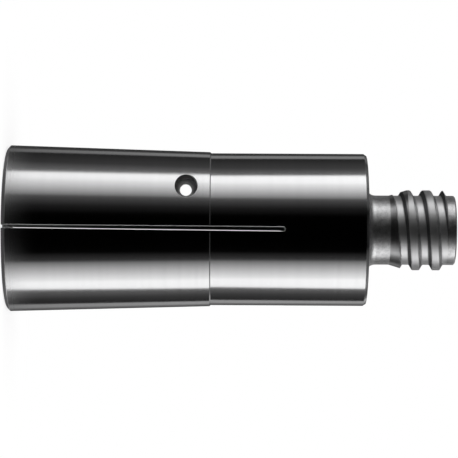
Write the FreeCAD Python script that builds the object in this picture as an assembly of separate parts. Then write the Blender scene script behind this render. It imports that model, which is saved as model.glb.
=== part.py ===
"""Adapter sleeve that holds a cylindrical tool shank and locks it with a cross pin.

The sleeve is one turned and ground steel piece. It stands on its nose, with the origin at
the centre of the nose face and +Z along its axis, towards the threaded stem. The slots lie
in the planes X = 0 and Y = 0, and the pin hole runs along Y on the -X side.

Lengths are in millimetres and angles in degrees.
"""
import FreeCAD, Part
import math
import os

# Clamping body, measured from the nose face
BODY_LENGTH = 70.7
NOSE_DIAMETER = 32.8
TAPER_END_DIAMETER = 30.45
TAPER_LENGTH = 39.8
STEP_LENGTH = 0.5
GUIDE_DIAMETER = 30.0
NOSE_CHAMFER_LENGTH = 0.7
NOSE_CHAMFER_DEPTH = 1.2
SHOULDER_ROUND = 0.6

# Stem behind the shoulder
NECK_DIAMETER = 13.65
NECK_LENGTH = 4.55
NECK_FILLET = 2.0
FLARE_HALF_ANGLE = 17.0
PILOT_LENGTH = 1.7
STEM_END_CHAMFER = 0.25

# Drawbar thread, one right-hand ridge whose root is level with the neck
THREAD_LENGTH = 11.25
THREAD_DIAMETER = 15.8
THREAD_PITCH = 4.0
THREAD_CREST_WIDTH = 1.45
THREAD_FLANK_ANGLE = 30.0
THREAD_BEVEL_ANGLE = 58.0
THREAD_START_ANGLE = 241.5

# Tool bore and the hole through the stem
BORE_DIAMETER = 16.0
BORE_DEPTH = 60.0
BORE_CHAMFER = 0.5
DRILL_POINT_ANGLE = 118.0
STEM_HOLE_DIAMETER = 8.0
STEM_HOLE_CHAMFER = 0.4

# Slots that let the body close on the shank
SLOT_COUNT = 4
SLOT_WIDTH = 0.85
SLOT_LENGTH = 54.5

# Locking pin's hole, a chord across one side of the bore
PIN_HOLE_HEIGHT = 35.4
PIN_HOLE_OFFSET = 8.1
PIN_HOLE_DIAMETER = 4.4
PIN_HOLE_REACH = 9.5
PIN_HOLE_LEAN = 1.1
KNOCKOUT_DIAMETER = 2.5

# How far a cutting tool stands clear of the surface that it cuts through
TOOL_CLEARANCE = 1.0

UP = FreeCAD.Vector(0, 0, 1)
ORIGIN = FreeCAD.Vector(0, 0, 0)

FLARE_FOOT = BODY_LENGTH + NECK_LENGTH
THREAD_END = FLARE_FOOT + THREAD_LENGTH
TOTAL_LENGTH = THREAD_END + PILOT_LENGTH


def revolve(points):
    """Solid of revolution about Z from (radius, height) points that start and end on the axis."""
    corners = [FreeCAD.Vector(radius, 0, height) for radius, height in points]
    face = Part.Face(Part.makePolygon(corners + corners[:1]))
    return face.revolve(ORIGIN, UP, 360)


def circle_edges(shape, radius, height):
    """Full-circle edges about the axis with the given radius and height."""
    found = []
    for edge in shape.Edges:
        curve = edge.Curve
        if not isinstance(curve, Part.Circle):
            continue
        if abs(curve.Radius - radius) < 1e-6 and abs(curve.Center.z - height) < 1e-6:
            found.append(edge)
    return found


def turned_blank():
    """Outside of the body and stem as they leave the lathe, with no thread, bore or slot."""
    nose = NOSE_DIAMETER / 2
    guide = GUIDE_DIAMETER / 2
    neck = NECK_DIAMETER / 2
    taper_per_mm = (nose - TAPER_END_DIAMETER / 2) / TAPER_LENGTH
    blank = revolve([
        (0, 0),
        (nose - NOSE_CHAMFER_DEPTH, 0),
        (nose - taper_per_mm * NOSE_CHAMFER_LENGTH, NOSE_CHAMFER_LENGTH),
        (TAPER_END_DIAMETER / 2, TAPER_LENGTH),
        (guide, TAPER_LENGTH + STEP_LENGTH),
        (guide, BODY_LENGTH),
        (neck, BODY_LENGTH),
        (neck, TOTAL_LENGTH - STEM_END_CHAMFER),
        (neck - STEM_END_CHAMFER, TOTAL_LENGTH),
        (0, TOTAL_LENGTH),
    ])
    blank = blank.makeFillet(SHOULDER_ROUND, circle_edges(blank, guide, BODY_LENGTH))
    return blank.makeFillet(NECK_FILLET, circle_edges(blank, neck, BODY_LENGTH))


def thread_envelope(inner):
    """Turned shape that the ridge is cut from: flare, crest cylinder and end bevel.

    The flare and the bevel run on down to the inner radius, inside the neck.
    """
    crest = THREAD_DIAMETER / 2
    root = NECK_DIAMETER / 2
    flare_slope = math.tan(math.radians(FLARE_HALF_ANGLE))
    bevel_slope = math.tan(math.radians(THREAD_BEVEL_ANGLE))
    flare_start = FLARE_FOOT - (root - inner) / flare_slope
    bevel_end = THREAD_END + (root - inner) / bevel_slope
    return revolve([
        (0, flare_start),
        (inner, flare_start),
        (crest, FLARE_FOOT + (crest - root) / flare_slope),
        (crest, THREAD_END - (crest - root) / bevel_slope),
        (inner, bevel_end),
        (0, bevel_end),
    ])


def thread_ridge():
    """Right-hand helical ridge with a trapezoid section, run out on the flare and the bevel."""
    crest = THREAD_DIAMETER / 2
    root = NECK_DIAMETER / 2
    overlap = (crest - root) / 3
    inner = root - overlap
    outer = crest + overlap
    flank_slope = math.tan(math.radians(THREAD_FLANK_ANGLE))
    inner_half = THREAD_CREST_WIDTH / 2 + (crest - inner) * flank_slope
    outer_half = THREAD_CREST_WIDTH / 2 - (outer - crest) * flank_slope
    section = Part.makePolygon([
        FreeCAD.Vector(inner, 0, -inner_half),
        FreeCAD.Vector(outer, 0, -outer_half),
        FreeCAD.Vector(outer, 0, outer_half),
        FreeCAD.Vector(inner, 0, inner_half),
        FreeCAD.Vector(inner, 0, -inner_half),
    ])
    helix = Part.makeHelix(THREAD_PITCH, THREAD_PITCH, crest)
    turn = Part.Wire(helix).makePipeShell([section], True, True)
    turn.rotate(ORIGIN, UP, THREAD_START_ANGLE)
    turn.translate(UP * (FLARE_FOOT - THREAD_PITCH))
    turns = []
    for index in range(math.ceil(THREAD_LENGTH / THREAD_PITCH) + 2):
        turns.append(turn.translated(UP * (index * THREAD_PITCH)))
    ridge = turns[0].multiFuse(turns[1:])
    return ridge.common(thread_envelope(inner - overlap))


def bore_cutter():
    """Tool bore with a chamfered mouth and a drill-point bottom, and the hole through the stem."""
    bore = BORE_DIAMETER / 2
    hole = STEM_HOLE_DIAMETER / 2
    point = (bore - hole) / math.tan(math.radians(DRILL_POINT_ANGLE / 2))
    return revolve([
        (0, -TOOL_CLEARANCE),
        (bore + BORE_CHAMFER + TOOL_CLEARANCE, -TOOL_CLEARANCE),
        (bore, BORE_CHAMFER),
        (bore, BORE_DEPTH),
        (hole, BORE_DEPTH + point),
        (hole, TOTAL_LENGTH - STEM_HOLE_CHAMFER),
        (hole + STEM_HOLE_CHAMFER + TOOL_CLEARANCE, TOTAL_LENGTH + TOOL_CLEARANCE),
        (0, TOTAL_LENGTH + TOOL_CLEARANCE),
    ])


def slot_cutter(angle):
    """One radial slot from the nose through the wall, ending in a full radius."""
    inner = BORE_DIAMETER / 4
    outer = NOSE_DIAMETER / 2 + TOOL_CLEARANCE
    end_centre = SLOT_LENGTH - SLOT_WIDTH / 2
    sides = Part.makeBox(outer - inner, SLOT_WIDTH, end_centre + TOOL_CLEARANCE,
                         FreeCAD.Vector(inner, -SLOT_WIDTH / 2, -TOOL_CLEARANCE))
    end = Part.makeCylinder(SLOT_WIDTH / 2, outer - inner,
                            FreeCAD.Vector(inner, 0, end_centre), FreeCAD.Vector(1, 0, 0))
    cutter = sides.fuse(end).removeSplitter()
    cutter.rotate(ORIGIN, UP, angle)
    return cutter


def pin_hole_cutter():
    """Stepped hole for the locking pin, entered from -Y and leaning to the nose on the far side.

    The knock-out hole at the bottom goes on through the far wall.
    """
    pin = PIN_HOLE_DIAMETER / 2
    knockout = KNOCKOUT_DIAMETER / 2
    start = -(NOSE_DIAMETER / 2 + TOOL_CLEARANCE)
    point = (pin - knockout) / math.tan(math.radians(DRILL_POINT_ANGLE / 2))
    cutter = revolve([
        (0, start),
        (pin, start),
        (pin, PIN_HOLE_REACH - point),
        (knockout, PIN_HOLE_REACH),
        (knockout, -start),
        (0, -start),
    ])
    cutter.rotate(ORIGIN, FreeCAD.Vector(1, 0, 0), -90 - PIN_HOLE_LEAN)
    mouth = math.sqrt((GUIDE_DIAMETER / 2) ** 2 - PIN_HOLE_OFFSET ** 2)
    rise = mouth * math.tan(math.radians(PIN_HOLE_LEAN))
    cutter.translate(FreeCAD.Vector(-PIN_HOLE_OFFSET, 0, PIN_HOLE_HEIGHT - rise))
    return cutter


def adapter_sleeve():
    """The whole sleeve as one solid."""
    sleeve = turned_blank().fuse(thread_ridge())
    sleeve = sleeve.cut(bore_cutter())
    slots = [slot_cutter(360 * index / SLOT_COUNT) for index in range(SLOT_COUNT)]
    sleeve = sleeve.cut(slots)
    return sleeve.cut(pin_hole_cutter())


def main():
    """Build the sleeve and write it as a STEP file named after its node."""
    os.makedirs("parts", exist_ok=True)
    sleeve = adapter_sleeve()
    solid = sleeve.Solids[0]
    box = solid.optimalBoundingBox()
    print(f"adapter_sleeve: {len(sleeve.Solids)} solid, valid {solid.isValid()}, "
          f"volume {solid.Volume:.1f} mm3, {len(solid.Faces)} faces, "
          f"{box.XLength:.2f} x {box.YLength:.2f} x {box.ZLength:.2f} mm")
    solid.exportStep("parts/adapter_sleeve.step")


main()
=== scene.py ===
"""Looks and studio for a slotted adapter sleeve with a cross-pin hole and a drawbar thread.

The sleeve stands on its nose with its axis on +Z. Its surfaces are cut from spun and swept
meshes at the frame's sizes, then dressed in ground, blasted and cut steel. Sizes of the sleeve
are written in millimetres and become metres as the meshes are finished.
"""
import logging
import math
from dataclasses import dataclass, field, replace
from enum import Enum
from typing import Callable, Dict, List, Optional, Sequence, Tuple, Union

import bmesh
import bpy
from mathutils import Matrix, Vector

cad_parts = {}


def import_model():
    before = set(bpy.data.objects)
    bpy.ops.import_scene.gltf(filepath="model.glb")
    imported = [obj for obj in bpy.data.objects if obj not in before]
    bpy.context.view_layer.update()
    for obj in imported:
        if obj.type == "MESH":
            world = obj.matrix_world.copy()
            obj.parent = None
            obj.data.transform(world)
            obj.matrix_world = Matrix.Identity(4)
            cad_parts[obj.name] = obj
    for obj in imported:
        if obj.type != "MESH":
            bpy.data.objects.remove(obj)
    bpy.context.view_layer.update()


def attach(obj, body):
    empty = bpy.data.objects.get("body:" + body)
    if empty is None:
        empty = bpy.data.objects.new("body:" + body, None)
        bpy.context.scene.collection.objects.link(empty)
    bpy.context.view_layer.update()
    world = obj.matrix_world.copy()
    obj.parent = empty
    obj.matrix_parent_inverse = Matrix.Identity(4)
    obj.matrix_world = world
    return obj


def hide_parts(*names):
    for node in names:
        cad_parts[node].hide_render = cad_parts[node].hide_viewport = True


LOG = logging.getLogger("adapter_sleeve")

MM = 0.001
SLEEVE_NODE = "adapter_sleeve"
ROOT_BODY = "root"
PHOTO_WIDTH = 458

Point = Tuple[float, float]
Outline = List[Point]


class Finish(Enum):
    """Finishes of the sleeve's surfaces; each value is the material's slot number."""

    GROUND = 0
    TURNED = 1
    BLASTED = 2
    CUT = 3
    BORED = 4
    THREADED = 5
    # Painted shade: the thread's nose-facing flanks get a near-black steel that stands in for the
    # shade falling on them.
    PAINTED_SHADE_FLANK = 6
    SEAT = 7


@dataclass(frozen=True)
class Corner:
    """One corner of a turned outline, with the radius that breaks or fills it."""

    radius: float
    height: float
    rounding: float = 0.0


@dataclass(frozen=True)
class Stretch:
    """A run of an outline that has one finish."""

    finish: Finish
    points: Sequence[Point]


def rounded(corners: Sequence[Corner], finest: float = 8.0) -> Outline:
    """Turn corners into an outline whose corners are arcs.

    Args:
        corners: Corners in order; the first and the last stay sharp.
        finest: Largest turn in degrees between two steps of an arc.

    Returns:
        Points of the outline, as radius and height.
    """
    outline: Outline = [(corners[0].radius, corners[0].height)]
    for before, corner, after in zip(corners, corners[1:], corners[2:]):
        here = Vector((corner.radius, corner.height))
        back = Vector((before.radius, before.height)) - here
        ahead = Vector((after.radius, after.height)) - here
        half_angle = back.angle(ahead) / 2
        reach = corner.rounding / math.tan(half_angle) if corner.rounding else 0.0
        if reach <= 0.0:
            outline.append((here.x, here.y))
            continue
        bisector = (back.normalized() + ahead.normalized()).normalized()
        centre = here + bisector * (corner.rounding / math.sin(half_angle))
        start = here + back.normalized() * reach - centre
        end = here + ahead.normalized() * reach - centre
        turn = start.angle_signed(end)
        steps = max(2, math.ceil(abs(math.degrees(turn)) / finest))
        for step in range(steps + 1):
            arm = start.copy()
            arm.rotate(Matrix.Rotation(-turn * step / steps, 2))
            outline.append((centre.x + arm.x, centre.y + arm.y))
    outline.append((corners[-1].radius, corners[-1].height))
    return outline


def new_object(name: str, data: bpy.types.ID) -> bpy.types.Object:
    """Link a new object for a mesh, a lamp or a camera.

    Args:
        name: Name of the object.
        data: What the object shows.

    Returns:
        The linked object.
    """
    made = bpy.data.objects.new(name, data)
    bpy.context.scene.collection.objects.link(made)
    return made


def mesh_from(shape: bmesh.types.BMesh, name: str) -> bpy.types.Mesh:
    """Write a bmesh to a new mesh with a place for each finish, and free it.

    Args:
        shape: The closed shape.
        name: Name of the mesh.

    Returns:
        The mesh.
    """
    bmesh.ops.recalc_face_normals(shape, faces=shape.faces)
    mesh = bpy.data.meshes.new(name)
    for _ in Finish:
        mesh.materials.append(None)
    shape.to_mesh(mesh)
    shape.free()
    return mesh


def chain(shape: bmesh.types.BMesh, points: Sequence[Point], closed: bool) -> list:
    """Add an outline's vertices and edges in the XZ plane.

    Args:
        shape: Shape to add to.
        points: Radius and height of each vertex.
        closed: Whether the last vertex joins the first.

    Returns:
        The new vertices and edges.
    """
    verts = [shape.verts.new((radius, 0.0, height)) for radius, height in points]
    following = verts[1:] + verts[:1] if closed else verts[1:]
    return verts + [shape.edges.new(pair) for pair in zip(verts, following)]


def turned_solid(name: str, stretches: Sequence[Stretch], segments: int,
                 sectors: int = 24) -> bpy.types.Mesh:
    """Spin stretches of a closed outline round Z into one closed mesh.

    One sector is spun and then copied round the axis, which is much faster than one long spin.

    Args:
        name: Name of the mesh.
        stretches: Stretches in order; each starts where the one before ends.
        segments: Steps of the whole turn, a multiple of the sectors.
        sectors: Equal sectors in the turn.

    Returns:
        The mesh, with each stretch's finish on its faces.
    """
    shape = bmesh.new()
    sector = math.tau / sectors
    for stretch in stretches:
        old = set(shape.faces)
        bmesh.ops.spin(shape, geom=chain(shape, stretch.points, False), cent=(0, 0, 0),
                       axis=(0, 0, 1), angle=sector, steps=segments // sectors)
        for face in set(shape.faces) - old:
            face.material_index = stretch.finish.value
    bmesh.ops.spin(shape, geom=shape.verts[:] + shape.edges[:] + shape.faces[:],
                   cent=(0, 0, 0), axis=(0, 0, 1), angle=math.tau - sector,
                   steps=sectors - 1, use_duplicate=True)
    bmesh.ops.remove_doubles(shape, verts=shape.verts, dist=1e-4)
    return mesh_from(shape, name)


def close_ring(shape: bmesh.types.BMesh, ring: Sequence[bmesh.types.BMVert]) -> None:
    """Cap a ring of vertices that are joined by edges."""
    inside = set(ring)
    edges = [edge for edge in shape.edges if set(edge.verts) <= inside and edge.is_boundary]
    bmesh.ops.contextual_create(shape, geom=edges)


def extrude_ring(shape: bmesh.types.BMesh, ring: Sequence[bmesh.types.BMVert],
                 places: Sequence[Vector]) -> List[bmesh.types.BMVert]:
    """Extrude a ring and put its new vertices in place.

    Args:
        shape: Shape that holds the ring.
        ring: The ring's vertices, in order.
        places: Place of each new vertex, in the same order.

    Returns:
        The new ring, in the same order.
    """
    inside = set(ring)
    edges = [edge for edge in shape.edges if set(edge.verts) <= inside]
    made = bmesh.ops.extrude_edge_only(shape, edges=edges)["geom"]
    fresh = {item for item in made if isinstance(item, bmesh.types.BMVert)}
    following = []
    for vert, place in zip(ring, places):
        partner = next(edge.other_vert(vert) for edge in vert.link_edges
                       if edge.other_vert(vert) in fresh)
        partner.co = place
        following.append(partner)
    return following


def lofted_solid(name: str, rings: Sequence[Sequence[Vector]],
                 finishes: Sequence[Finish]) -> bpy.types.Mesh:
    """Make a closed mesh through rings that have the same number of points.

    Args:
        name: Name of the mesh.
        rings: Points of each ring, in order.
        finishes: Finish of each band between two rings.

    Returns:
        The mesh.
    """
    shape = bmesh.new()
    ring = [shape.verts.new(place) for place in rings[0]]
    for pair in zip(ring, ring[1:] + ring[:1]):
        shape.edges.new(pair)
    first = ring
    for places, finish in zip(rings[1:], finishes):
        old = set(shape.faces)
        ring = extrude_ring(shape, ring, places)
        for face in set(shape.faces) - old:
            face.material_index = finish.value
    close_ring(shape, first)
    close_ring(shape, ring)
    return mesh_from(shape, name)


class Join(Enum):
    """Ways to combine two closed meshes, by the name of the modifier's operation."""

    ADD = "UNION"
    CUT = "DIFFERENCE"
    COMMON = "INTERSECT"


def combine(base: bpy.types.Object, mesh: bpy.types.Mesh, join: Join) -> None:
    """Combine an object's mesh with another closed mesh and keep the result.

    Args:
        base: Object that is changed.
        mesh: The other mesh, which is removed afterwards.
        join: How the two are combined.
    """
    tool = new_object(mesh.name, mesh)
    modifier = base.modifiers.new(join.name, "BOOLEAN")
    modifier.operation = join.value
    modifier.solver = "EXACT"
    modifier.object = tool
    depsgraph = bpy.context.evaluated_depsgraph_get()
    made = bpy.data.meshes.new_from_object(base.evaluated_get(depsgraph))
    base.modifiers.clear()
    old = base.data
    made.name = old.name
    base.data = made
    bpy.data.meshes.remove(old)
    bpy.data.objects.remove(tool)
    bpy.data.meshes.remove(mesh)


@dataclass
class TurnedBody:
    """Clamping body and plain stem, as turned and ground, with the bore through both."""

    length: float = 70.7
    nose_radius: float = 16.396
    taper_end_radius: float = 15.225
    taper_length: float = 39.95
    step_length: float = 0.2
    guide_radius: float = 15.0
    nose_chamfer_length: float = 0.7
    nose_chamfer_depth: float = 0.8
    nose_round: float = 1.0
    shoulder_chamfer_length: float = 0.58
    shoulder_chamfer_depth: float = 0.38
    neck_radius: float = 6.825
    neck_fillet: float = 1.9
    neck_length: float = 4.55
    stem_length: float = 17.5
    pilot_length: float = 1.7
    stem_end_chamfer: float = 0.25
    bore_radius: float = 8.0
    bore_depth: float = 60.0
    bore_chamfer: float = 0.5
    drill_point_angle: float = 118.0
    stem_hole_radius: float = 4.0
    stem_hole_chamfer: float = 0.4
    edge_break: float = 0.1
    turned_rim: float = 0.15
    segments: int = 480

    @property
    def total_length(self) -> float:
        """Height of the stem's end."""
        return self.length + self.stem_length

    @property
    def taper_slope(self) -> float:
        """Radius lost for each millimetre of the taper."""
        return (self.nose_radius - self.taper_end_radius) / self.taper_length

    def outer_radius(self, height: float) -> float:
        """Radius of the body's outside at a height, ignoring its small edge breaks."""
        rim = self.nose_radius - self.nose_chamfer_length * self.taper_slope
        stations = [
            (0.0, self.nose_radius - self.nose_chamfer_depth),
            (self.nose_chamfer_length, rim),
            (self.taper_length, self.taper_end_radius),
            (self.taper_length + self.step_length, self.guide_radius),
            (self.length, self.guide_radius),
        ]
        for (low, low_radius), (high, high_radius) in zip(stations, stations[1:]):
            if height <= high:
                share = (max(height, 0.0) - low) / (high - low)
                return low_radius + share * (high_radius - low_radius)
        return self.guide_radius

    def stretches(self) -> List[Stretch]:
        """Outline of the body and stem, from the bore's mouth round to it again."""
        edge = self.edge_break
        rim = self.nose_radius - self.nose_chamfer_length * self.taper_slope
        top = self.total_length
        point = (self.bore_radius - self.stem_hole_radius) / math.tan(
            math.radians(self.drill_point_angle / 2))
        middle = (self.bore_radius + self.nose_radius) / 2
        face_middle = (self.guide_radius + self.neck_radius) / 2
        end_middle = (self.neck_radius + self.stem_hole_radius) / 2
        nose = rounded([
            Corner(middle, 0.0),
            Corner(self.nose_radius - self.nose_chamfer_depth, 0.0, self.nose_round),
            Corner(rim, self.nose_chamfer_length, edge),
            Corner(rim - self.turned_rim * self.taper_slope,
                   self.nose_chamfer_length + self.turned_rim),
        ])
        ground = rounded([
            Corner(*nose[-1]),
            Corner(self.taper_end_radius, self.taper_length, edge / 2),
            Corner(self.guide_radius, self.taper_length + self.step_length, edge / 2),
            Corner(self.guide_radius, self.length - self.shoulder_chamfer_length, edge),
            Corner(self.guide_radius - self.shoulder_chamfer_depth, self.length, edge),
            Corner(face_middle, self.length),
        ])
        neck = rounded([
            Corner(*ground[-1]),
            Corner(self.neck_radius, self.length, self.neck_fillet),
            Corner(self.neck_radius, self.length + self.neck_length),
        ])
        pilot_start = (self.neck_radius, top - self.pilot_length)
        stem = rounded([
            Corner(*pilot_start),
            Corner(self.neck_radius, top - self.stem_end_chamfer, edge),
            Corner(self.neck_radius - self.stem_end_chamfer, top, edge),
            Corner(end_middle, top),
        ])
        hole = rounded([
            Corner(*stem[-1]),
            Corner(self.stem_hole_radius + self.stem_hole_chamfer, top, edge),
            Corner(self.stem_hole_radius, top - self.stem_hole_chamfer, edge),
            Corner(self.stem_hole_radius, self.bore_depth + point, edge),
            Corner(self.bore_radius, self.bore_depth, edge),
            Corner(self.bore_radius, self.bore_chamfer, edge),
            Corner(self.bore_radius + self.bore_chamfer, 0.0, edge),
            Corner(middle, 0.0),
        ])
        return [
            Stretch(Finish.TURNED, nose),
            Stretch(Finish.GROUND, ground),
            Stretch(Finish.BLASTED, neck),
            Stretch(Finish.THREADED, [neck[-1], pilot_start]),
            Stretch(Finish.BLASTED, stem),
            Stretch(Finish.BORED, hole),
        ]

    def mesh(self) -> bpy.types.Mesh:
        """Spin the outline into the closed body."""
        return turned_solid("turned_body", self.stretches(), self.segments)


@dataclass
class DrawbarThread:
    """One right-hand trapezoid ridge on the stem, run out on a flare and an end bevel."""

    body: TurnedBody
    length: float = 11.25
    crest_radius: float = 7.9
    pitch: float = 4.0
    crest_width: float = 1.45
    flank_angle: float = 30.0
    flare_half_angle: float = 17.0
    bevel_angle: float = 58.0
    start_angle: float = 241.5
    corner_break: float = 0.09
    sink: float = 0.4
    clearance: float = 0.3
    flank_steepness: float = 0.7
    steps_per_turn: int = 144

    @property
    def foot(self) -> float:
        """Height of the flare's foot."""
        return self.body.length + self.body.neck_length

    @property
    def depth(self) -> float:
        """Height of the ridge over its root."""
        return self.crest_radius - self.body.neck_radius

    def section(self) -> Outline:
        """Ridge section about its own middle, from the root below to the root above."""
        slope = math.tan(math.radians(self.flank_angle))
        half_crest = self.crest_width / 2
        half_root = half_crest + self.depth * slope
        root = self.body.neck_radius
        side = [
            (root - self.sink, half_root + self.corner_break),
            (root, half_root + self.corner_break),
            (root + self.corner_break, half_root - self.corner_break * slope),
            (self.crest_radius - self.corner_break,
             half_crest + self.corner_break * slope),
            (self.crest_radius, half_crest - self.corner_break),
        ]
        return [(radius, -height) for radius, height in side] + side[::-1]

    def ridge_mesh(self) -> bpy.types.Mesh:
        """Sweep the section up the helix and cap both ends.

        Returns:
            The closed ridge, longer at both ends than what the turned shape leaves of it.
        """
        turns = math.ceil(self.length / self.pitch) + 2
        steps = turns * self.steps_per_turn
        start = self.foot - self.pitch
        shape = bmesh.new()
        places = [(radius, start + height) for radius, height in self.section()]
        geometry = chain(shape, places, True)
        spin = bmesh.ops.spin(shape, geom=geometry, cent=(0, 0, 0), axis=(0, 0, 1),
                              dvec=(0, 0, self.pitch / self.steps_per_turn),
                              angle=math.tau * turns, steps=steps, use_merge=False)
        first = [item for item in geometry if isinstance(item, bmesh.types.BMVert)]
        last = [item for item in spin["geom_last"] if isinstance(item, bmesh.types.BMVert)]
        close_ring(shape, first)
        close_ring(shape, last)
        turn = Matrix.Rotation(math.radians(self.start_angle), 4, "Z")
        bmesh.ops.transform(shape, matrix=turn, verts=shape.verts)
        bmesh.ops.recalc_face_normals(shape, faces=shape.faces)
        # Faces turned to the nose get the painted-shade flank steel, darker than the rest, for
        # the shade that falls on them; faces turned back get blasted steel.
        for face in shape.faces:
            finish = Finish.TURNED
            if face.normal.z < -self.flank_steepness:
                finish = Finish.PAINTED_SHADE_FLANK
            elif face.normal.z > self.flank_steepness:
                finish = Finish.BLASTED
            face.material_index = finish.value
        return mesh_from(shape, "thread_ridge")

    def envelope_mesh(self) -> bpy.types.Mesh:
        """Turned shape that the ridge is trimmed to, from the flare to the end bevel."""
        under = self.sink + self.clearance
        inner = self.body.neck_radius - under
        flare = math.tan(math.radians(self.flare_half_angle))
        bevel = math.tan(math.radians(self.bevel_angle))
        low = self.foot - under / flare
        high = self.foot + self.length + under / bevel
        clear = self.crest_radius + self.clearance
        outline = [
            (0.0, low),
            (inner, low),
            (clear, low + (clear - inner) / flare),
            (clear, high - (clear - inner) / bevel),
            (inner, high),
            (0.0, high),
        ]
        return turned_solid("thread_envelope", [Stretch(Finish.BORED, outline)],
                            self.body.segments)

    def mesh(self) -> bpy.types.Mesh:
        """Trim the ridge to the turned shape."""
        ridge = new_object("ridge", self.ridge_mesh())
        combine(ridge, self.envelope_mesh(), Join.COMMON)
        mesh = ridge.data
        bpy.data.objects.remove(ridge)
        return mesh


@dataclass
class ClampSlots:
    """Radial slots from the nose through the wall, with broken edges at the outside.

    The slots are cut in pairs, right across, and the fingers between them lie a little closer
    together at the nose than at the slots' ends, as hardening leaves them.
    """

    body: TurnedBody
    count: int = 4
    end_width: float = 0.85
    nose_width: float = 0.62
    length: float = 54.5
    leans: Point = (0.6, 0.29)
    lean_pivot: float = 18.5
    edge_break: float = 0.05
    over: float = 0.6
    end_steps: int = 24

    def spine(self) -> List[Tuple[float, Point]]:
        """Height and outward direction of each point of the slot's outline, seen end on."""
        body = self.body
        heights = [-1.0, 0.0, body.nose_chamfer_length, body.taper_length,
                   body.taper_length + body.step_length]
        end = self.length - self.end_width / 2
        left = [(height, (-1.0, 0.0)) for height in heights]
        right = [(height, (1.0, 0.0)) for height in reversed(heights)]
        arc = []
        for step in range(self.end_steps + 1):
            angle = math.pi * (1 - step / self.end_steps)
            arc.append((end, (math.cos(angle), math.sin(angle))))
        return left + arc + right

    def flat_ring(self, widening: float, reach: float, slope: float) -> List[Vector]:
        """One ring of the cutter that lies in a plane.

        Args:
            widening: Distance of the outline outside the slot's wall.
            reach: Distance of the plane from the axis.
            slope: Sideways shift of the slot's middle for each millimetre of height.

        Returns:
            Points of the ring.
        """
        places = []
        for height, (across, along) in self.spine():
            share = height / self.length
            width = self.nose_width + (self.end_width - self.nose_width) * share
            middle = slope * (height - self.lean_pivot)
            offset = width / 2 + widening
            places.append(Vector((reach, middle + across * offset, height + along * offset)))
        return places

    def surface_ring(self, widening: float, lift: float, slope: float) -> List[Vector]:
        """One ring of the cutter that follows the body's outside.

        Args:
            widening: Distance of the outline outside the slot's wall.
            lift: Distance of the ring outside the body's outside.
            slope: Sideways shift of the slot's middle for each millimetre of height.

        Returns:
            Points of the ring.
        """
        places = self.flat_ring(widening, 0.0, slope)
        for place in places:
            reach = self.body.outer_radius(place.z) + lift
            place.x = math.sqrt(reach * reach - place.y * place.y)
        return places

    def mesh(self, index: int) -> bpy.types.Mesh:
        """Cutter for one slot: straight walls that open into a chamfer at the surface.

        Args:
            index: Number of the slot round the axis.

        Returns:
            The closed cutter.
        """
        far, near = (math.tan(math.radians(lean)) for lean in self.leans)
        slope = -far if index < self.count / 2 else near
        flared = self.edge_break + self.over
        mesh = lofted_solid("slot", [
            self.flat_ring(0.0, self.body.bore_radius / 2, slope),
            self.surface_ring(0.0, -self.edge_break, slope),
            self.surface_ring(flared, self.over, slope),
            self.flat_ring(flared, self.body.nose_radius + 2.0, slope),
        ], [Finish.CUT] * 3)
        mesh.transform(Matrix.Rotation(math.tau * index / self.count, 4, "Z"))
        return mesh


@dataclass
class PinHole:
    """Stepped cross hole for the locking pin, entered from -Y, with broken edges."""

    body: TurnedBody
    height: float = 35.4
    offset: float = 8.1
    radius: float = 2.2
    reach: float = 9.5
    lean: float = 1.1
    knockout_radius: float = 1.2
    drill_point_angle: float = 118.0
    edge_break: float = 0.05
    over: float = 0.5
    segments: int = 72

    def axis(self) -> Tuple[Vector, Vector]:
        """Point of the hole's axis in the plane Y = 0, and its direction out of the mouth."""
        lean = math.radians(self.lean)
        mouth = math.sqrt(self.body.guide_radius ** 2 - self.offset ** 2)
        base = Vector((-self.offset, 0.0, self.height - mouth * math.tan(lean)))
        return base, Vector((0.0, -math.cos(lean), math.sin(lean)))

    def ring(self, radius: float, depth: Callable[[Vector], float]) -> List[Vector]:
        """One ring of the cutter, about the hole's axis.

        Args:
            radius: Radius of the ring.
            depth: Gives, for a point in the middle plane, how far out the ring lies there.

        Returns:
            Points of the ring.
        """
        base, out = self.axis()
        across = Vector((1.0, 0.0, 0.0))
        along = across.cross(out)
        places = []
        for step in range(self.segments):
            angle = math.tau * step / self.segments
            start = base + (across * math.cos(angle) + along * math.sin(angle)) * radius
            places.append(start + out * depth(start))
        return places

    def to_surface(self, side: float) -> Callable[[Vector], float]:
        """Distance from the middle plane to the body's outside.

        Args:
            side: 1 at the mouth and -1 at the far wall.

        Returns:
            A function of a point in the middle plane.
        """
        _, out = self.axis()

        def distance(start: Vector) -> float:
            """Step along the hole until the body's outside is met."""
            reached = 0.0
            for _ in range(4):
                height = start.z + out.z * reached * side
                radius = self.body.outer_radius(height)
                reached = math.sqrt(radius ** 2 - start.x ** 2) / abs(out.y)
            return reached * side

        return distance

    def mesh(self) -> bpy.types.Mesh:
        """Cutter for the whole hole, from outside the mouth to outside the far wall."""
        near = self.to_surface(1.0)
        far = self.to_surface(-1.0)
        point = (self.radius - self.knockout_radius) / math.tan(
            math.radians(self.drill_point_angle / 2))
        broken = self.edge_break
        over = self.over
        return lofted_solid("pin_hole", [
            self.ring(self.radius + broken + over, lambda start: near(start) + over),
            self.ring(self.radius, lambda start: near(start) - broken),
            self.ring(self.radius, lambda start: point - self.reach),
            self.ring(self.knockout_radius, lambda start: -self.reach),
            self.ring(self.knockout_radius, lambda start: far(start) + broken),
            self.ring(self.knockout_radius + broken + over, lambda start: far(start) - over),
        ], [Finish.CUT, Finish.CUT, Finish.SEAT, Finish.CUT, Finish.CUT])


Amount = Union["Signal", float]


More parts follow.
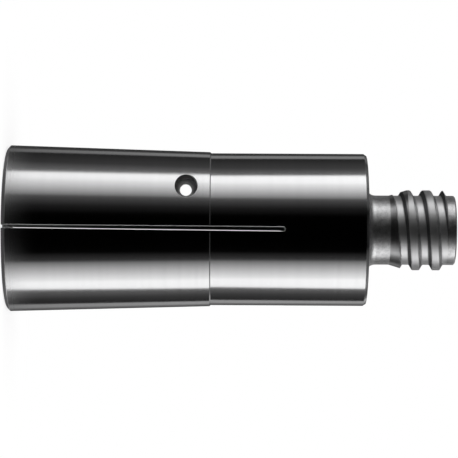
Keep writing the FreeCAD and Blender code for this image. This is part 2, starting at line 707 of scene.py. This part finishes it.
class Signal:
    """A value in a material's node tree, which works in expressions."""

    def __init__(self, shader: "Shader", socket: bpy.types.NodeSocket) -> None:
        """Keep the socket and the shader that it belongs to."""
        self.shader = shader
        self.socket = socket

    def combined(self, operation: str, left: Amount, right: Amount) -> "Signal":
        """Add a Math node.

        Args:
            operation: Operation of the node.
            left: First operand.
            right: Second operand.

        Returns:
            The node's result.
        """
        return self.shader.node("ShaderNodeMath", {"operation": operation}, {0: left, 1: right})

    def __add__(self, other: Amount) -> "Signal":
        """Self plus other."""
        return self.combined("ADD", self, other)

    def __radd__(self, other: Amount) -> "Signal":
        """Other plus self."""
        return self.combined("ADD", other, self)

    def __sub__(self, other: Amount) -> "Signal":
        """Self minus other."""
        return self.combined("SUBTRACT", self, other)

    def __rsub__(self, other: Amount) -> "Signal":
        """Other minus self."""
        return self.combined("SUBTRACT", other, self)

    def __mul__(self, other: Amount) -> "Signal":
        """Self times other."""
        return self.combined("MULTIPLY", self, other)

    def __rmul__(self, other: Amount) -> "Signal":
        """Other times self."""
        return self.combined("MULTIPLY", other, self)


class Shader:
    """A material or a world, and the nodes that are added to it."""

    def __init__(self, name: str, world: bool = False) -> None:
        """Start a material or a world with only its output."""
        self.owner = (bpy.data.worlds if world else bpy.data.materials).new(name)
        self.owner.use_nodes = True
        self.tree = self.owner.node_tree
        self.tree.nodes.clear()
        kind = "ShaderNodeOutputWorld" if world else "ShaderNodeOutputMaterial"
        self.output = self.tree.nodes.new(kind)

    def node(self, kind: str, settings: Optional[Dict[str, object]] = None,
             inputs: Optional[Dict[Union[int, str], object]] = None,
             result: Union[int, str] = 0) -> Signal:
        """Add a node.

        Args:
            kind: Type of the node.
            settings: Its own settings, set before its inputs.
            inputs: Values or signals of its input sockets, by name or number.
            result: Output socket that is wanted.

        Returns:
            The output as a signal.
        """
        made = self.tree.nodes.new(kind)
        for name, value in (settings or {}).items():
            setattr(made, name, value)
        for name, value in (inputs or {}).items():
            if isinstance(value, Signal):
                self.tree.links.new(value.socket, made.inputs[name])
            else:
                made.inputs[name].default_value = value
        return Signal(self, made.outputs[result])

    def noise(self, lay: Point, detail: float) -> Signal:
        """Noise in object space.

        Args:
            lay: Waves for each metre across the axis and along it.
            detail: Finer layers in the noise.

        Returns:
            The noise, about 0.5.
        """
        across, along = lay
        where = self.node("ShaderNodeTexCoord", result="Object")
        scaled = self.node("ShaderNodeMapping", {}, {
            "Vector": where, "Scale": (across, across, along)})
        return self.node("ShaderNodeTexNoise", {"noise_dimensions": "3D"},
                         {"Vector": scaled, "Scale": 1.0, "Detail": detail})

    def tone(self, amount: Amount, dark: float, light: float, cool: float = 0.005) -> Signal:
        """Cool grey between two greys.

        Args:
            amount: Share of the light grey.
            dark: Grey at 0.
            light: Grey at 1.
            cool: How much more blue than grey both are.

        Returns:
            The mixed colour.
        """
        return self.node("ShaderNodeMix", {"data_type": "RGBA"}, {
            0: amount, 6: (dark, dark, dark + cool, 1.0),
            7: (light, light, light + cool, 1.0)}, result=2)

    def remap(self, value: Signal, start: Point, end: Point = (0.0, 1.0)) -> Signal:
        """Value moved from one range to another, and held inside it."""
        return self.node("ShaderNodeMapRange", {}, {
            "Value": value, "From Min": start[0], "From Max": start[1],
            "To Min": end[0], "To Max": end[1]})

    def finish(self, surface: Signal) -> Union[bpy.types.Material, bpy.types.World]:
        """Join the surface to the output and give the material or the world."""
        self.tree.links.new(surface.socket, self.output.inputs["Surface"])
        return self.owner


@dataclass(frozen=True)
class PaintedHighlight:
    """Painted highlight: a bright patch painted into the colour round a line along Y, which fades
    from its inner to its outer radius.
    """

    across: float
    height: float
    inner: float
    outer: float


@dataclass(frozen=True)
class Steel:
    """Steel with the marks that its last machining left.

    The dark and the light are greys, and a lay is the waves of the marks for each metre across
    the axis and along it.
    """

    name: str
    dark: float
    light: float
    roughness: float
    roughness_spread: float
    lay: Point
    fine_lay: Point
    bump: float
    bump_distance: float
    anisotropic: float = 0.0
    metallic: float = 1.0
    contrast: float = 1.0
    worn_ends: Tuple[Point, ...] = ()
    end_wear: float = 0.0
    painted_highlight: Optional[PaintedHighlight] = None

    def wear(self, shader: Shader) -> Amount:
        """Share of worn, dull steel, which grows towards the worn ends of the surface."""
        where = shader.node("ShaderNodeTexCoord", result="Object")
        height = shader.node("ShaderNodeSeparateXYZ", {}, {"Vector": where}, result="Z")
        total: Amount = 0.0
        for sound, worn in self.worn_ends:
            share = shader.remap(height, (sound * MM, worn * MM))
            total = total + share * share * self.end_wear
        return total

    def painted_highlight_share(self, shader: Shader) -> Signal:
        """Share of the painted highlight: 1 at the inner and 0 at the outer radius."""
        patch = self.painted_highlight
        where = shader.node("ShaderNodeTexCoord", result="Object")
        apart = shader.node("ShaderNodeVectorMath", {"operation": "SUBTRACT"},
                            {0: where, 1: (patch.across * MM, 0.0, patch.height * MM)})
        flat = shader.node("ShaderNodeVectorMath", {"operation": "MULTIPLY"},
                           {0: apart, 1: (1.0, 0.0, 1.0)})
        reach = shader.node("ShaderNodeVectorMath", {"operation": "LENGTH"}, {0: flat},
                            result="Value")
        return shader.remap(reach, (patch.outer * MM, patch.inner * MM))

    def material(self) -> bpy.types.Material:
        """Build the steel: machining marks in its colour, roughness and relief, and a painted
        highlight in its colour where one is set.
        """
        shader = Shader(self.name)
        broad = shader.noise(self.lay, detail=3.0)
        fine = shader.noise(self.fine_lay, detail=2.0)
        marks = broad * 0.6 + fine * 0.4
        light = (marks - 0.5) * self.contrast + 0.5
        # Painted highlight: the colour follows a bright patch that fades outwards, in place of
        # the machining marks.
        if self.painted_highlight:
            light = self.painted_highlight_share(shader) * (marks + 0.5)
        relief = shader.node("ShaderNodeBump", {}, {
            "Strength": self.bump, "Distance": self.bump_distance, "Height": fine})
        inputs = {
            "Base Color": shader.tone(light, self.dark, self.light),
            "Metallic": self.metallic,
            "Roughness": marks * self.roughness_spread
            + (self.roughness - self.roughness_spread / 2),
            "Anisotropic": self.anisotropic,
            "Anisotropic Rotation": 0.25,
            "Normal": relief,
        }
        surface = shader.node("ShaderNodeBsdfPrincipled", {}, inputs)
        if self.worn_ends:
            dull = shader.node("ShaderNodeBsdfPrincipled", {},
                               {**inputs, "Roughness": 0.5, "Anisotropic": 0.3})
            surface = shader.node("ShaderNodeMixShader", {},
                                  {0: self.wear(shader), 1: surface, 2: dull})
        return shader.finish(surface)


CUT_STEEL = Steel(
    name="cut_steel", dark=0.5, light=0.7, roughness=0.36, roughness_spread=0.12,
    lay=(700.0, 700.0), fine_lay=(3500.0, 3500.0),
    bump=0.3, bump_distance=0.00004, metallic=0.5)
THREADED_STEEL = Steel(
    name="threaded_steel", dark=0.6, light=0.76, roughness=0.44, roughness_spread=0.08,
    lay=(60.0, 1500.0), fine_lay=(3000.0, 6000.0),
    bump=0.25, bump_distance=0.00003)
STEELS = {
    Finish.GROUND: Steel(
        name="ground_steel", dark=0.54, light=0.62, roughness=0.18, roughness_spread=0.03,
        lay=(12.0, 900.0), fine_lay=(25.0, 4200.0),
        bump=0.05, bump_distance=0.00002, anisotropic=0.9,
        worn_ends=((7.0, 0.5),), end_wear=0.4),
    Finish.TURNED: Steel(
        name="turned_steel", dark=0.56, light=0.72, roughness=0.5, roughness_spread=0.08,
        lay=(40.0, 900.0), fine_lay=(120.0, 4000.0),
        bump=0.1, bump_distance=0.00002, anisotropic=0.3),
    Finish.BLASTED: Steel(
        name="blasted_steel", dark=0.25, light=0.86, roughness=0.38, roughness_spread=0.1,
        lay=(1400.0, 1400.0), fine_lay=(4500.0, 4500.0),
        bump=0.35, bump_distance=0.00004, contrast=1.2),
    Finish.CUT: CUT_STEEL,
    Finish.BORED: Steel(
        name="bored_steel", dark=0.34, light=0.5, roughness=0.32, roughness_spread=0.06,
        lay=(20.0, 900.0), fine_lay=(60.0, 3000.0),
        bump=0.1, bump_distance=0.00002, anisotropic=0.5),
    Finish.THREADED: THREADED_STEEL,
    # Painted shade: a darker copy of the threaded steel for the nose-facing flanks.
    Finish.PAINTED_SHADE_FLANK: replace(
        THREADED_STEEL, name="painted_shade_flank", dark=0.1, light=0.22, roughness=0.45),
    # Painted highlight: the pin hole's drill-point seat is painted bright round the knock-out
    # hole.
    Finish.SEAT: replace(
        CUT_STEEL, name="drilled_seat_painted_highlight", dark=0.3, light=0.95, roughness_spread=0.1,
        metallic=0.3, painted_highlight=PaintedHighlight(across=-8.1, height=34.95, inner=1.2, outer=1.9)),
}


@dataclass
class AdapterSleeve:
    """The whole sleeve: turned body, thread, slots and pin hole in one piece."""

    body: TurnedBody = field(default_factory=TurnedBody)
    smooth_angle: float = 14.0
    merge_distance: float = 2e-4
    pinhole_width: float = 0.045

    def build(self) -> bpy.types.Object:
        """Cut and join the meshes into one piece in metres.

        Returns:
            The finished piece, with its materials.
        """
        sleeve = new_object("sleeve_ground_body", self.body.mesh())
        combine(sleeve, DrawbarThread(self.body).mesh(), Join.ADD)
        slots = ClampSlots(self.body)
        for index in range(slots.count):
            combine(sleeve, slots.mesh(index), Join.CUT)
        combine(sleeve, PinHole(self.body).mesh(), Join.CUT)
        self.close(sleeve.data)
        self.dress(sleeve.data)
        return sleeve

    def close(self, mesh: bpy.types.Mesh) -> None:
        """Merge the doubles that cutting left, and draw the pinholes beside them shut.

        Args:
            mesh: The sleeve's mesh, still in millimetres.
        """
        shape = bmesh.new()
        shape.from_mesh(mesh)
        bmesh.ops.remove_doubles(shape, verts=shape.verts, dist=self.merge_distance)
        bmesh.ops.dissolve_degenerate(shape, edges=shape.edges, dist=self.merge_distance / 2)
        rims = [vert for vert in shape.verts if vert.is_boundary]
        bmesh.ops.remove_doubles(shape, verts=rims, dist=self.pinhole_width)
        LOG.info("open edges: %d", sum(edge.is_boundary for edge in shape.edges))
        shape.to_mesh(mesh)
        shape.free()

    def dress(self, mesh: bpy.types.Mesh) -> None:
        """Scale the mesh to metres, shade it smooth between its edges and add the steels.

        Args:
            mesh: The sleeve's mesh.
        """
        mesh.transform(Matrix.Scale(MM, 4))
        mesh.shade_smooth()
        mesh.set_sharp_from_angle(angle=math.radians(self.smooth_angle))
        for finish, steel in STEELS.items():
            mesh.materials[finish.value] = steel.material()


@dataclass(frozen=True)
class Side:
    """One upright side of a light panel.

    The angle is in degrees round the sleeve from the camera's side, positive towards -X, at
    the height of the floor. The lean is in degrees for each metre of height.
    """

    angle: float
    strength: float
    lean: float = 0.0


@dataclass(frozen=True)
class Panel:
    """A tall light panel on the ring round the sleeve, seen only in reflections and as light.

    Its strength is multiplied by the nose gain below the sleeve, by the rear gain from the
    sleeve's middle up and by the top gain at the knee, above which the panel stands upright.
    """

    name: str
    start: Side
    end: Side
    nose_gain: float = 1.0
    top_gain: float = 1.5
    rear_gain: float = 1.0
    low: float = -0.2
    high: float = 0.5
    knee: float = 0.3
    nose_span: Point = (-0.1, 0.05)
    rear_span: Point = (-0.02, 0.08)
    top_start: float = 0.14
    steps: int = 24
    rows: int = 7

    def angle(self, across: float, height: float) -> float:
        """Angle of a point of the panel.

        Args:
            across: Share of the way from the start to the end.
            height: Height of the point.

        Returns:
            The angle in radians.
        """
        leaning = min(height, self.knee)
        start = self.start.angle + self.start.lean * leaning
        end = self.end.angle + self.end.lean * leaning
        return math.radians(start + (end - start) * across)

    def mesh(self, ring_radius: float) -> bpy.types.Mesh:
        """Bend a grid round the ring."""
        shape = bmesh.new()
        shape.loops.layers.uv.new("across")
        bmesh.ops.create_grid(shape, x_segments=self.steps, y_segments=self.rows, size=0.5,
                              calc_uvs=True)
        for vert in shape.verts:
            height = self.low + (self.high - self.low) * (vert.co.y + 0.5)
            angle = self.angle(vert.co.x + 0.5, height)
            vert.co = (-ring_radius * math.sin(angle), -ring_radius * math.cos(angle), height)
        mesh = bpy.data.meshes.new(self.name)
        shape.to_mesh(mesh)
        shape.free()
        return mesh

    def material(self) -> bpy.types.Material:
        """Light that runs evenly from side to side, with its gains at each height."""
        shader = Shader(self.name)
        across = shader.node("ShaderNodeSeparateXYZ", {}, {
            "Vector": shader.node("ShaderNodeTexCoord", result="UV")}, result="X")
        height = shader.node("ShaderNodeSeparateXYZ", {}, {
            "Vector": shader.node("ShaderNodeTexCoord", result="Object")}, result="Z")
        gains = (shader.remap(height, self.nose_span, (self.nose_gain, 1.0))
                 * shader.remap(height, self.rear_span, (1.0, self.rear_gain))
                 * shader.remap(height, (self.top_start, self.knee), (1.0, self.top_gain)))
        change = self.end.strength - self.start.strength
        strength = (across * change + self.start.strength) * gains
        return shader.finish(shader.node("ShaderNodeEmission", {}, {"Strength": strength}))


@dataclass
class Studio:
    """Pale floor, white background, dark surround with light panels, and the camera."""

    ring_radius: float = 0.6
    surround_radius: float = 0.66
    surround_depth: float = 4.0
    floor_reach: float = 3.0
    bare_radius: float = 0.012
    shadow_span: Point = (0.0165, 0.05)
    shadow_share: float = 0.2
    panels: Sequence[Panel] = (
        Panel("upper_trail", Side(19.0, 0.0), Side(31.0, 0.016)),
        Panel("upper_tail", Side(31.0, 0.016), Side(45.9, 0.1)),
        Panel("upper_fade", Side(45.9, 0.27), Side(72.0, 1.5), 0.75, 1.7, 0.88),
        Panel("upper_softbox", Side(72.0, 1.6), Side(84.3, 1.85, 31.0), 0.75, 1.7, 0.9),
        Panel("upper_spill", Side(84.3, 0.2, 31.0), Side(103.0, 0.07), 1.0, 3.0),
        Panel("upper_shade", Side(103.0, 0.07), Side(133.7, 0.02), 0.5, 3.0),
        Panel("upper_strip", Side(131.6, 0.3, 22.0), Side(144.8, 0.3, 22.0), 0.38, 0.6),
        Panel("upper_rim", Side(144.8, 0.05, 22.0), Side(172.0, 0.05), 0.8, 3.0),
        Panel("low_glow", Side(70.0, 0.35), Side(290.0, 0.35), 1.0, 1.0, 1.0, -1.0, -0.38),
        Panel("upper_glow", Side(50.0, 0.1), Side(180.0, 0.17), 1.0, 1.0, 1.0, 0.5, 1.5),
        Panel("lower_glow", Side(-50.0, 0.1), Side(-180.0, 0.17), 1.0, 1.0, 1.0, 0.5, 1.5),
        Panel("lower_tail", Side(-36.0, 0.008), Side(-48.2, 0.05), 0.7),
        Panel("lower_fade", Side(-48.2, 0.21), Side(-80.0, 1.55), 0.88, 1.7, 0.82),
        Panel("lower_softbox", Side(-80.0, 1.65), Side(-95.6, 1.75, -38.0), 0.9, 1.7, 0.88),
        Panel("lower_spill", Side(-95.6, 0.18, -38.0), Side(-115.0, 0.07), 0.8, 3.0),
        Panel("lower_shade", Side(-115.0, 0.07), Side(-133.9, 0.015, -31.0), 0.5, 3.0),
        Panel("lower_strip", Side(-133.9, 0.46, -31.0), Side(-149.0, 0.42), 0.52, 0.6),
        Panel("lower_rim", Side(-149.0, 0.25), Side(-170.0, 0.04), 0.6, 3.0),
    )

    def build(self) -> None:
        """Make the floor, the background, the panels, their dark surround and the lamps."""
        self.floor()
        self.background()
        for panel in self.panels:
            self.light_panel(panel)
        self.surround()
        self.glow("under_glow", -0.5, 0.06)
        self.glow("over_glow", 1.6, 0.05)
        self.lamp("overhead", 4.0, 0.5, (0.0, -0.1, 0.6), 0.0)
        self.lamp("front_fill", 0.4, 0.03, (0.0, -0.5, 0.045), 90.0)

    def light_panel(self, panel: Panel) -> None:
        """Put one panel on the ring, out of the camera's sight.

        Args:
            panel: Its place and strength.
        """
        made = new_object(panel.name, panel.mesh(self.ring_radius))
        made.data.materials.append(panel.material())
        made.visible_camera = False

    def surround(self) -> None:
        """Dark drum behind the panels, seen only in reflections."""
        shape = bmesh.new()
        bmesh.ops.create_cone(shape, cap_ends=True, segments=64, radius1=self.surround_radius,
                              radius2=self.surround_radius, depth=self.surround_depth)
        self.reflected("dark_surround", shape, 0.0)

    def glow(self, name: str, height: float, strength: float) -> None:
        """Add a faint level light that is seen only in reflections.

        Args:
            name: Name of the light.
            height: Where it lies.
            strength: How bright it is.
        """
        shape = bmesh.new()
        bmesh.ops.create_circle(shape, cap_ends=True, segments=64, radius=self.ring_radius)
        bmesh.ops.translate(shape, verts=shape.verts, vec=(0.0, 0.0, height))
        self.reflected(name, shape, strength)

    @staticmethod
    def reflected(name: str, shape: bmesh.types.BMesh, strength: float) -> None:
        """Stage a shape that only reflections show.

        Args:
            name: Name of the stage piece.
            shape: Its shape, which is freed.
            strength: How bright it is.
        """
        mesh = bpy.data.meshes.new(name)
        shape.to_mesh(mesh)
        shape.free()
        made = new_object(name, mesh)
        shader = Shader(name)
        mesh.materials.append(shader.finish(
            shader.node("ShaderNodeEmission", {}, {"Strength": strength})))
        made.visible_camera = False
        made.visible_diffuse = False
        made.visible_shadow = False

    def floor(self) -> None:
        """Pale floor that keeps a faint shadow."""
        shape = bmesh.new()
        bmesh.ops.create_grid(shape, x_segments=2, y_segments=2, size=self.floor_reach)
        mesh = bpy.data.meshes.new("floor")
        shape.to_mesh(mesh)
        shape.free()
        made = new_object("floor", mesh)
        made.visible_glossy = False
        made.visible_shadow = False
        shader = Shader("floor")
        paint = shader.node("ShaderNodeBsdfDiffuse", {}, {"Color": (0.9, 0.9, 0.9, 1.0)})
        glow = shader.node("ShaderNodeEmission", {}, {"Strength": 1.0})
        seen = shader.node("ShaderNodeLightPath", result="Is Camera Ray")
        where = shader.node("ShaderNodeTexCoord", result="Object")
        reach = shader.node("ShaderNodeVectorMath", {"operation": "LENGTH"}, {0: where},
                            result="Value")
        white = shader.remap(reach, self.shadow_span, (1.0 - self.shadow_share, 1.0))
        outside = shader.node("ShaderNodeMath", {"operation": "GREATER_THAN"},
                              {0: reach, 1: self.bare_radius})
        mesh.materials.append(shader.finish(shader.node(
            "ShaderNodeMixShader", {}, {0: seen * outside * white, 1: paint, 2: glow})))

    @staticmethod
    def background() -> None:
        """White world where it is seen, and a soft grey one as light."""
        shader = Shader("studio", world=True)
        camera, glossy, transmission = (
            shader.node("ShaderNodeLightPath", result=f"Is {ray} Ray")
            for ray in ("Camera", "Glossy", "Transmission"))
        seen = camera.combined("MAXIMUM", camera, glossy)
        seen = seen.combined("MAXIMUM", seen, transmission)
        bpy.context.scene.world = shader.finish(shader.node("ShaderNodeBackground", {}, {
            "Color": (1.0, 1.0, 1.0, 1.0), "Strength": seen * 0.75 + 0.25}))

    @staticmethod
    def lamp(name: str, energy: float, size: float, place: Tuple[float, float, float],
             tilt: float) -> None:
        """Add a soft lamp that reflections don't show.

        Args:
            name: Name of the lamp.
            energy: Its power in watts.
            size: Width of its square in metres.
            place: Where it stands.
            tilt: Turn about X in degrees, from straight down.
        """
        light = bpy.data.lights.new(name, "AREA")
        light.size = size
        light.energy = energy
        made = new_object(name, light)
        made.location = place
        made.rotation_euler = (math.radians(tilt), 0.0, 0.0)
        made.visible_camera = False
        made.visible_glossy = False


@dataclass
class PhotoCamera:
    """Long-lens camera level with the sleeve, rolled so that the axis runs across the picture."""

    distance: float = 0.475
    height: float = 0.04372
    azimuth: float = 1.15
    roll: float = 0.3
    lens: float = 188.9
    lift_pixels: float = 0.28

    def build(self) -> bpy.types.Object:
        """Make the camera and use it.

        Returns:
            The camera's object.
        """
        turn = math.radians(self.azimuth)
        roll = math.radians(self.roll)
        along = Vector((0.0, 0.0, 1.0))
        rise = Vector((-math.cos(turn), -math.sin(turn), 0.0))
        right = along * math.cos(roll) + rise * math.sin(roll)
        up = rise * math.cos(roll) - along * math.sin(roll)
        back = right.cross(up)
        data = bpy.data.cameras.new("photo_camera")
        data.lens = self.lens
        data.sensor_width = 36.0
        data.shift_y = self.lift_pixels / PHOTO_WIDTH
        data.clip_start = 0.01
        data.clip_end = 20.0
        made = new_object("photo_camera", data)
        pose = Matrix((right, up, back)).transposed().to_4x4()
        pose.translation = back * self.distance + Vector((0.0, 0.0, self.height))
        made.matrix_world = pose
        bpy.context.scene.camera = made
        return made


def report(piece: bpy.types.Object) -> None:
    """Log a piece's size in faces and millimetres."""
    size = [round(side / MM, 2) for side in piece.dimensions]
    LOG.info("%s: %d faces, %s mm", piece.name, len(piece.data.polygons), size)


def main() -> None:
    """Load the frame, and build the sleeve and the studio."""
    logging.basicConfig(level=logging.INFO, format="%(name)s: %(message)s")
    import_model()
    sleeve = AdapterSleeve().build()
    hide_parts(SLEEVE_NODE)
    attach(sleeve, ROOT_BODY)
    report(sleeve)
    Studio().build()
    PhotoCamera().build()
    scene = bpy.context.scene
    scene.view_settings.view_transform = "Standard"


if __name__ == "__main__":
    main()
